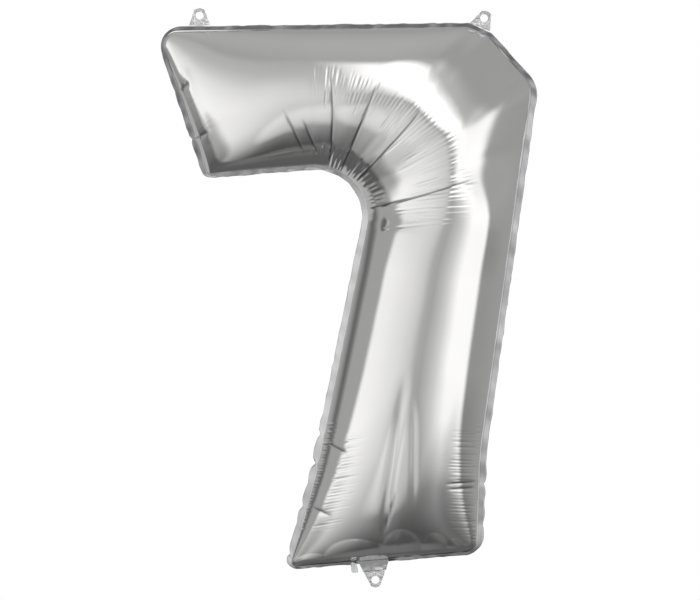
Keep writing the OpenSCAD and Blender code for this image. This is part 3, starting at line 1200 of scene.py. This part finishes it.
@dataclass
class Panels:
    """The two inflated sheets, on a grid whose pitch changes along the figure."""

    outline: Outline
    stations: int = 700
    columns: int = 138
    pitch_arm: float = 2.3
    pitch_bend: float = 1.2
    pitch_leg: float = 2.6
    pitch_foot: float = 1.25
    measured_at: float = 0.6
    bend_turns: tuple[float, float] = (-8.0, 100.0)
    bend_above: float = 500.0
    foot_below: float = 232.0

    def placed(self, p: np.ndarray) -> np.ndarray:
        """Resamples the faired film on a grid that is finer where it is pleated.

        The stations are spread so that each stands a set distance from the next, measured 60 % of the way
        across: a short one round the bend and at the foot, a longer one along the arm and the leg.

        Args:
            p: the faired film [3, i, j].

        Returns:
            The film [3, stations + 1, columns + 1].
        """
        line = p[:, :, int(p.shape[2] * self.measured_at)]
        step = np.sqrt((np.diff(line, axis=1) ** 2).sum(0))
        mid = (line[:, 1:] + line[:, :-1]) / 2.0
        centre = self.outline.crook_centre()
        turn = np.degrees(np.arctan2(mid[2] - centre[1], mid[0] - centre[0]))
        bend = window(turn, *self.bend_turns, 6.0) * (mid[2] > self.bend_above)
        foot = window(mid[2], 0.0, self.foot_below, 30.0)
        pitch = np.where(turn > self.bend_turns[1], self.pitch_arm, self.pitch_leg)
        pitch = pitch + (self.pitch_bend - pitch) * bend
        pitch = pitch + (self.pitch_foot - pitch) * foot
        count = np.concatenate([[0.0], np.cumsum(step / pitch)])
        t = np.interp(np.linspace(0.0, count[-1], self.stations + 1), count, np.arange(len(count)))
        q = spline(p, 1, t)
        return spline(q, 2, np.linspace(0.0, p.shape[2] - 1.0, self.columns + 1))

    def flat_cut(self) -> tuple[tuple[float, float], float]:
        """Size and area of the flat cut that each sheet is made from, the area by the shoelace rule.

        Returns:
            Width and height in metres, and the area in square metres.
        """
        q = self.outline.ring(-1.0)
        size = (q.max(0) - q.min(0)) * MM
        area = 0.5 * np.abs(np.sum(q[:, 0] * np.roll(q[:, 1], -1) - np.roll(q[:, 0], -1) * q[:, 1]))
        return (float(size[0]), float(size[1])), float(area) * MM * MM

    def build(self) -> list[bpy.types.Object]:
        """Makes and dresses both sheets: one creased shape, mirrored for the back.

        Returns:
            The front sheet and the back one.
        """
        base = self.placed(Filling(self.outline).shape())
        creased, fold_shade_mask = Creasing(self.outline).lay(base)
        size, area = self.flat_cut()
        made = []
        sheets = ((Side.FRONT, "front_film", "front_panel"), (Side.BACK, "back_film", "back_panel"))
        for side, name, node in sheets:
            p = creased.copy()
            p[1] *= side.value
            piece = grid_mesh(name, p, flip=side is Side.BACK)
            # The fold attribute carries painted shade: the film's colour darkens along its crease lines.
            set_value(piece, "fold", fold_shade_mask)
            SILVER.dress(piece)
            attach(piece, "balloon")
            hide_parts(node)
            log.info("%s: %d points, depth %.0f mm", name, p.shape[1] * p.shape[2], float(np.abs(p[1]).max()))
            made.append(piece)
        return made


@dataclass(frozen=True)
class Pinch:
    """A place where the seam's outer edge is drawn in, with a slight bulge on both sides of it."""

    x: float
    z: float
    depth: float
    width: float


@dataclass
class SealedRim:
    """The flat seam round the figure: a thin band, wavy where the film pulls on it."""

    outline: Outline
    rows: int = 7
    thick: float = 0.7
    lap: float = 1.5
    wave: float = 0.7
    bulge: float = 0.35
    bulge_at: float = 16.0
    bulge_width: float = 9.0
    pinches: tuple[Pinch, ...] = (
        Pinch(-86.0, 222.0, 3.5, 4.0),
        Pinch(-96.0, 178.0, 4.0, 4.0),
        Pinch(-108.0, 112.0, 5.0, 5.0),
        Pinch(-134.0, 42.0, 3.0, 4.0),
        Pinch(163.0, 146.0, 4.5, 4.0),
        Pinch(160.0, 83.0, 3.0, 4.0),
        Pinch(232.0, 745.0, 2.5, 5.0),
        Pinch(-301.0, 742.0, 2.0, 4.0),
        Pinch(-282.0, 668.0, 3.0, 4.0),
    )

    def waves(self, s: np.ndarray, free: np.ndarray) -> np.ndarray:
        """Waviness across the band: a sum of sines of the distance along the edge, in patches.

        Args:
            s: distance along the edge [n, 1].
            free: 1 at the outer edge, 0 at the inner line [1, rows + 1].

        Returns:
            Height of the band's middle surface [n, rows + 1].
        """
        ripple = np.sin(s / 5.1 + 2.0 * np.sin(s / 31.0)) + 0.8 * np.sin(s / 12.7 + 1.0)
        patches = 0.4 + 0.6 * np.abs(lattice_noise(s, s * 0, 40.0, 5))
        return self.wave * free * ripple * patches

    def scallops(self, s: np.ndarray, free: np.ndarray, x: np.ndarray, z: np.ndarray) -> np.ndarray:
        """How far the outer edge steps out: smooth noise along the edge, drawn in at the pinches.

        Args:
            s: distance along the edge [n, 1].
            free: 1 at the outer edge, 0 at the inner line [1, rows + 1].
            x: the outer edge's points across [n, 1].
            z: the outer edge's points up [n, 1].

        Returns:
            The step outwards [n, rows + 1].
        """
        noise = 0.8 * lattice_noise(s, s * 0 + 3.0, 9.0, 6) + 0.5 * lattice_noise(s, s * 0 + 7.0, 23.0, 7)
        step = (noise - 0.5) * free
        for pinch in self.pinches:
            off = np.hypot(x - pinch.x, z - pinch.z)
            beside = np.exp(-(((off - self.bulge_at) / self.bulge_width) ** 2))
            step = step - pinch.depth * free * np.exp(-((off / pinch.width) ** 2))
            step = step + self.bulge * pinch.depth * free * beside
        return step

    def build(self) -> bpy.types.Object:
        """Makes the band: four faces round a thin rectangle that runs round the outline.

        Its middle surface waves, leans back by a set angle from the inner line and steps in and out at its
        edge.

        Returns:
            The dressed band.
        """
        o = self.outline
        insets = np.concatenate([np.linspace(0.0, o.seam_w, self.rows), [o.seam_w + self.lap]])
        rings = np.stack([o.ring(d) for d in insets], 1)
        s = run_of(rings[:, 0])[:, None]
        x, z = rings[..., 0], rings[..., 1]
        free = np.clip(1.0 - insets / o.seam_w, 0.0, 1.0)[None]
        inner = slice(self.rows - 1, self.rows)
        from_inner = np.hypot(x - x[:, inner], z - z[:, inner]) * (insets < o.seam_w)[None]
        y = self.waves(s, free) + np.tan(np.radians(o.spread(o.lean_back)))[:, None] * from_inner
        out = rings[:, :1] - rings[:, 1:2]
        out = out / np.linalg.norm(out, axis=2, keepdims=True)
        step = self.scallops(s, free, x[:, :1], z[:, :1])
        x, z = x + out[..., 0] * step, z + out[..., 1] * step
        half = self.thick / 2.0
        front = np.stack([x, y - half, z])
        back = np.stack([x, y + half, z])[:, :, ::-1]
        band = np.concatenate([front, back], 2)
        piece = grid_mesh("sealed_rim", band, close_u=True, close_v=True, flip=True)
        # Painted light per edge, with a little random tone on top, goes into the fold attribute.
        seam_painted_light_and_tone = o.spread(o.seam_painted_light_and_tone)[:, None] + 0.12 * lattice_noise(s, s * 0, 14.0, 9)
        set_value(piece, "fold", np.clip(np.tile(seam_painted_light_and_tone, (1, 2 * len(insets))), 0.0, 1.0))
        SEAM.dress(piece)
        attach(piece, "balloon")
        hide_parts("heat_seal_seam")
        log.info("sealed_rim: %d stations", len(rings))
        return piece


@dataclass
class Tab:
    """One hanging or tying tab: creased film round a hole. Its node and its body have the same name."""

    name: str
    node: str
    hole: tuple[float, float]
    root: tuple[float, float]
    seed: int
    root_w: float = 33.0
    end_r: float = 11.5
    hole_r: float = 6.0
    thick: float = 0.35
    crumple: float = 2.2
    spokes: int = 144
    rings: int = 15
    flare: float = 0.15
    nearly_square: float = 0.13
    far_off: float = 1e3
    least: float = 1e-3

    def reach_of(self, angle: np.ndarray) -> np.ndarray:
        """Distance from the hole to the tab's edge in each direction.

        The tab is what lies within the end circle round the hole or the wedge from that circle to the root
        line, so in each direction the distance is the largest that the wedge's own edges and the root line
        allow.

        Args:
            angle: directions in radians, 0 towards the root.

        Returns:
            Distances in millimetres.
        """
        to_root = math.hypot(self.root[0] - self.hole[0], self.root[1] - self.hole[1])
        half = self.root_w / 2.0
        start_x, start_y = self.end_r * self.flare, self.end_r
        cos, sin = np.cos(angle), np.abs(np.sin(angle))
        root_at = np.where(cos > self.least, to_root / np.maximum(cos, self.least), self.far_off)
        slope = (half - start_y) / (to_root - start_x)
        away = sin - slope * cos
        edge = (start_y - slope * start_x) / np.maximum(away, self.least)
        edge = np.where(away > self.least, edge, self.far_off)
        wedge = np.minimum(root_at, edge)
        return np.where(cos > self.nearly_square, wedge, np.minimum(wedge, self.end_r))

    def build(self) -> bpy.types.Object:
        """Makes the tab as a closed ring: spokes from the hole to the edge, both faces crumpled by noise.

        Returns:
            The dressed tab.
        """
        angle = np.linspace(0.0, 2.0 * np.pi, self.spokes + 1)[:-1]
        share = np.linspace(0.0, 1.0, self.rings + 1)
        far = self.reach_of(angle)
        ragged = 1.0 + 0.05 * lattice_noise(np.cos(angle) * 9.0, np.sin(angle) * 9.0, 3.0, self.seed)
        r = self.hole_r + (np.minimum(far * ragged, far + 0.6) - self.hole_r)[:, None] * share[None]
        ex = (self.root[0] - self.hole[0], self.root[1] - self.hole[1])
        size = math.hypot(*ex)
        ex = (ex[0] / size, ex[1] / size)
        a, b = r * np.cos(angle)[:, None], r * np.sin(angle)[:, None]
        x = self.hole[0] + a * ex[0] - b * ex[1]
        z = self.hole[1] + a * ex[1] + b * ex[0]
        free = np.clip((size - a) / size, 0.0, 1.3)
        dents = 1.4 * lattice_noise(x, z, 6.5, self.seed + 1) + 0.6 * lattice_noise(x, z, 2.6, self.seed + 2)
        y = self.crumple * free * dents
        half = self.thick / 2.0
        loop = np.concatenate([np.stack([x, y - half, z]), np.stack([x, y + half, z])[:, :, ::-1]], 2)
        piece = grid_mesh(self.name, loop, close_u=True, close_v=True)
        TAB.dress(piece)
        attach(piece, self.node)
        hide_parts(self.node)
        log.info("%s: %d spokes", self.name, len(angle))
        return piece


@dataclass
class Neck:
    """The inlet neck below the foot: two foil tails, and the valve film's end curling out beside them."""

    outline: Outline
    width: float = 44.0
    length: float = 12.0
    lap: float = 4.0
    gap: float = 0.45
    half_thick: float = 0.15
    narrowing: float = 0.22
    parting: float = 1.6
    curl_x: float = -29.5
    curl_y: float = -1.2
    curl_top: float = 26.0
    curl_width: float = 13.0
    curl_turn: float = 1.35 * math.pi
    curl_r: float = 8.2
    curl_tighter: float = 3.0

    def tail(self, name: str, node: str, side: Side, seed: int) -> bpy.types.Object:
        """One tail: a thin closed strip that narrows downwards and ripples across its width.

        Args:
            name: the piece's name.
            node: the CAD node that it stands for.
            side: front or back.
            seed: for its ripples.

        Returns:
            The dressed strip.
        """
        o = self.outline
        e = o.edge(Corner.FOOT_LEFT)
        down = -left_of(e)
        seat = o.corners[Corner.FOOT_LEFT] + e * o.foot_left_len
        a = np.linspace(-0.5, 0.5, 61)[:, None]
        b = np.linspace(-self.lap, self.length, 15)[None]
        live = np.clip(b / self.length, 0.0, 1.0)
        taper = 1.0 - self.narrowing * live
        x = seat[0] + a * self.width * taper * e[0] + b * down[0]
        z = seat[1] + a * self.width * taper * e[1] + b * down[1]
        mouth = self.gap + self.parting * live**1.5 * (0.5 + 0.5 * np.cos(a * 2 * np.pi))
        y = side.value * mouth + live * lattice_noise(x, z, 5.0, seed)
        front = np.stack([x, y - self.half_thick, z])
        back = np.stack([x, y + self.half_thick, z])[:, :, ::-1]
        piece = grid_mesh(name, self.capped(np.concatenate([front, back], 2)), close_v=True)
        NECK.dress(piece)
        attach(piece, "balloon")
        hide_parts(node)
        log.info("%s: tail of %.0f mm", name, self.length)
        return piece

    @staticmethod
    def capped(loop: np.ndarray) -> np.ndarray:
        """Closes a tube's two ends by drawing its first and last ring together to their middle thickness.

        Args:
            loop: the tube's rings [3, rings, points].

        Returns:
            The tube with one flat ring more at each end.
        """
        ends = []
        for k in (0, -1):
            ring = loop[:, k]
            m = ring.shape[1] // 2
            flat = (ring[:, :m] + ring[:, m:][:, ::-1]) / 2.0
            ends.append(np.concatenate([flat, flat[:, ::-1]], 1)[:, None])
        return np.concatenate([ends[0], loop, ends[1]], 1)

    def curl(self) -> bpy.types.Object:
        """The valve film's end, rolled towards the front: two thirds of a turn, 8 to 5 mm in radius.

        Returns:
            The dressed film.
        """
        t = np.linspace(0.0, 1.0, 40)[:, None]
        b = np.linspace(0.0, 1.0, 14)[None]
        turn = t * self.curl_turn
        radius = self.curl_r - self.curl_tighter * t
        sway_x, sway_z = lattice_noise(t * 30.0, b * 20.0, 5.0, 10), lattice_noise(t * 30.0, b * 20.0, 6.0, 8)
        x = self.curl_x - radius * np.sin(turn) - 3.0 * t + 1.5 * b + 0.9 * sway_x
        y = self.curl_y - radius * (1.0 - np.cos(turn)) * 0.8 - 0.8 * b
        z = self.curl_top - self.curl_width * b - 2.5 * t * b + 1.2 * sway_z
        front = np.stack([x, y, z])
        back = np.stack([x + 0.2 * np.sin(turn), y + 0.25, z])[:, :, ::-1]
        piece = grid_mesh("valve_film_end", self.capped(np.concatenate([front, back], 2)), close_v=True)
        CLEAR.dress(piece)
        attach(piece, "balloon")
        log.info("valve_film_end: rolled film")
        return piece

    def build(self) -> list[bpy.types.Object]:
        """Makes both tails and the curl, and dresses the valve's films inside the balloon.

        Returns:
            The two tails and the curl.
        """
        made = [
            self.tail("neck_tail_front", "neck_front_film", Side.FRONT, 31),
            self.tail("neck_tail_back", "neck_back_film", Side.BACK, 32),
            self.curl(),
        ]
        for node in ("valve_front_film", "valve_back_film", "valve_side_welds"):
            CLEAR.dress(frame["nodes"][node])
        PRINT.dress(frame["nodes"]["valve_release_print"])
        return made


# ---------------------------------------------------------------- studio


@dataclass(frozen=True)
class Glow:
    """A round soft spot of the tent: its middle, the cosines where it starts and is full, its strength."""

    toward: tuple[float, float, float]
    low: float
    high: float
    strength: float

    def light(self, n: Nodes, axes: tuple[bpy.types.NodeSocket, ...]) -> bpy.types.NodeSocket:
        """The spot's light: a smooth rise of the cosine between direction and middle, times its strength.

        Args:
            n: the node tree.
            axes: the direction's three sockets.

        Returns:
            The light.
        """
        size = math.sqrt(sum(c * c for c in self.toward))
        parts = [n.math("MULTIPLY", axis, c / size) for axis, c in zip(axes, self.toward)]
        cosine = n.math("ADD", n.math("ADD", parts[0], parts[1]), parts[2])
        return n.math("MULTIPLY", n.fade(cosine, self.low, self.high), self.strength)

    def shade(self, n: Nodes, axes: tuple[bpy.types.NodeSocket, ...]) -> bpy.types.NodeSocket:
        """What is left of the light where the spot darkens the tent instead: 1 less its light."""
        return n.math("SUBTRACT", 1.0, self.light(n, axes))


@dataclass
class Studio:
    """Pale floor, soft tent light and a long lens straight in front.

    The tent's ramps hold pairs of place and brightness: over X and over Z in front, over Z above and
    behind, and the three whose product is the key light.
    """

    distance: float = 9.0
    width: float = 1.0619
    centre: tuple[float, float] = (-0.0385, 0.4245)
    sensor: float = 36.0
    floor_z: float = -0.3
    floor_reach: float = 1600.0
    floor_sides: int = 96
    front_x: Stops = (
        (-1.0, 0.93), (-0.88, 0.88), (-0.69, 0.79), (-0.47, 0.71), (-0.2, 0.58), (-0.02, 0.39),
        (0.14, 0.36), (0.34, 0.48), (0.5, 0.62), (0.62, 0.80), (0.74, 1.0), (1.0, 1.0),
    )
    front_z: Stops = (
        (-1.0, 0.16), (-0.94, 0.27), (-0.84, 0.40), (-0.72, 0.54), (-0.59, 0.66), (-0.39, 0.83),
        (-0.28, 0.92), (0.0, 1.0), (0.16, 0.96), (0.36, 0.85), (0.6, 0.72), (1.0, 0.6),
    )
    upper_z: Stops = (
        (-1.0, 0.5), (0.3, 0.54), (0.5, 0.5), (0.65, 0.46), (0.8, 0.42), (0.9, 0.38), (1.0, 0.35),
    )
    rear_z: Stops = (
        (-1.0, 0.16), (-0.9, 0.11), (-0.6, 0.10), (-0.35, 0.17),
        (-0.12, 0.32), (0.1, 0.36), (0.7, 0.34), (1.0, 0.42),
    )
    key_x: Stops = ((-1.0, 0.0), (-0.17, 0.0), (-0.03, 1.0), (0.55, 1.0), (0.72, 0.2), (1.0, 0.0))
    key_z: Stops = ((-1.0, 0.0), (0.08, 0.0), (0.36, 1.0), (1.0, 1.0))
    key_y: Stops = ((-1.0, 1.0), (-0.6, 1.0), (-0.48, 0.0), (1.0, 0.0))
    front_gain: float = 1.08
    key_gain: float = 0.8
    upper_from: tuple[float, float] = (0.3, 0.62)
    front_from: tuple[float, float] = (-0.04, -0.20)
    front_tilt: float = 0.4
    low_glow: Glow = Glow((-0.04, -0.87, -0.5), 0.93, 0.99, 0.26)
    front_shades: tuple[Glow, ...] = (
        Glow((0.54, -0.38, -0.75), 0.85, 0.96, 0.45),
        Glow((-0.9, -0.12, -0.46), 0.87, 0.97, 0.55),
        Glow((0.78, -0.25, -0.58), 0.92, 0.985, 0.5),
    )
    rear_glow: Glow = Glow((-0.6, 0.74, -0.3), 0.87, 0.95, 0.3)
    rear_shade: Glow = Glow((-0.72, 0.68, 0.0), 0.90, 0.985, 0.62)

    def camera(self) -> None:
        """A camera whose frame is the set width at the seam's plane: sensor x distance / width is its
        lens."""
        data = bpy.data.cameras.new("camera")
        data.sensor_width = self.sensor
        data.lens = self.sensor * self.distance / self.width
        data.clip_end = 100.0
        camera = bpy.data.objects.new("camera", data)
        camera.location = (self.centre[0], -self.distance, self.centre[1])
        camera.rotation_euler = (math.pi / 2.0, 0.0, 0.0)
        bpy.context.scene.collection.objects.link(camera)
        bpy.context.scene.camera = camera

    def floor(self) -> None:
        """A pale disc below the balloon, which the foil doesn't mirror."""
        turn = np.linspace(0.0, 2.0 * np.pi, self.floor_sides + 1)[:-1]
        reach = np.array([0.02, self.floor_reach])
        x, y = np.outer(np.cos(turn), reach), np.outer(np.sin(turn), reach)
        floor = grid_mesh("floor", np.stack([x, y, np.full_like(x, self.floor_z / MM)]), close_u=True)
        material = bpy.data.materials.new("floor")
        material.use_nodes = True
        shader = material.node_tree.nodes["Principled BSDF"]
        shader.inputs["Base Color"].default_value = (0.96, 0.96, 0.96, 1.0)
        shader.inputs["Roughness"].default_value = 0.9
        shader.inputs["Emission Color"].default_value = (1.0, 1.0, 1.0, 1.0)
        shader.inputs["Emission Strength"].default_value = 0.3
        floor.data.materials.append(material)
        floor.visible_glossy = False

    def front_light(self, n: Nodes, axes: tuple[bpy.types.NodeSocket, ...]) -> bpy.types.NodeSocket:
        """The front half of the tent.

        Below it is the product of a ramp over X, dimmer in the middle and brighter to both sides, and one
        over Z, and above it is a ramp over Z alone. A key light high in front and a low glow are added, and
        three spots to the sides and below are darkened.

        Args:
            n: the world's node tree.
            axes: the direction's three sockets.

        Returns:
            The light.
        """
        x, y, z = axes
        below = n.product(n.ramp(x, self.front_x), n.ramp(z, self.front_z), self.front_gain)
        front = n.blend(n.fade(z, *self.upper_from), below, n.ramp(z, self.upper_z))
        key = n.product(n.ramp(x, self.key_x), n.ramp(z, self.key_z), n.ramp(y, self.key_y), self.key_gain)
        front = n.math("ADD", n.math("ADD", front, key), self.low_glow.light(n, axes))
        return n.product(front, *[spot.shade(n, axes) for spot in self.front_shades])

    def tent(self) -> None:
        """The light all round, from the direction: X to the right, Y to the back, Z up.

        Behind it is a ramp over Z with one bright and one dark spot. The two halves meet just in front of
        the sides, further forward the higher they are. The camera itself sees a white backdrop.
        """
        world = bpy.data.worlds.new("studio")
        bpy.context.scene.world = world
        world.use_nodes = True
        tree = world.node_tree
        tree.nodes.clear()
        n = Nodes(tree)
        where = n.add("ShaderNodeTexCoord")
        split = n.add("ShaderNodeSeparateXYZ")
        n.link(where.outputs["Generated"], split.inputs[0])
        axes = tuple(split.outputs)
        _, y, z = axes
        tilt = n.math("MULTIPLY", n.math("MAXIMUM", z, 0.0), self.front_tilt)
        in_front = n.fade(n.math("ADD", y, tilt), *self.front_from)
        halves = n.blend(in_front, n.ramp(z, self.rear_z), self.front_light(n, axes))
        shaded = n.math("MULTIPLY", halves, self.rear_shade.shade(n, axes))
        total = n.math("ADD", shaded, self.rear_glow.light(n, axes))
        light = n.add("ShaderNodeLightPath")
        background = n.add("ShaderNodeBackground")
        n.link(n.math("MAXIMUM", total, light.outputs["Is Camera Ray"]), background.inputs["Color"])
        out = n.add("ShaderNodeOutputWorld")
        n.link(background.outputs[0], out.inputs["Surface"])

    def build(self) -> None:
        """Makes the camera, the floor and the light."""
        self.camera()
        self.floor()
        self.tent()
        bpy.context.scene.view_settings.view_transform = "Standard"


def in_plane(place: list[float]) -> tuple[float, float]:
    """X and Z of a place in the record, in millimetres."""
    return place[0] / MM, place[2] / MM


def main() -> None:
    """Builds every sub-assembly in order."""
    logging.basicConfig(level=logging.INFO, format="%(name)s: %(message)s")
    outline = Outline()
    SealedRim(outline).build()
    Panels(outline).build()
    Neck(outline).build()
    holes = {mount["name"]: in_plane(mount["pos_m"]) for mount in frame["record"]["mounts"]}
    roots = {joint["child"]: in_plane(joint["pos_m"]) for joint in frame["joints"]}
    for name, node, mount, seed in (
        ("hang_loop_left", "hang_tab_left", "hang_hole_left", 41),
        ("hang_loop_right", "hang_tab_right", "hang_hole_right", 42),
        ("tie_loop", "tie_tab", "tie_hole", 43),
    ):
        Tab(name, node, holes[mount], roots[node], seed).build()
    Studio().build()


if __name__ == "__main__":
    main()
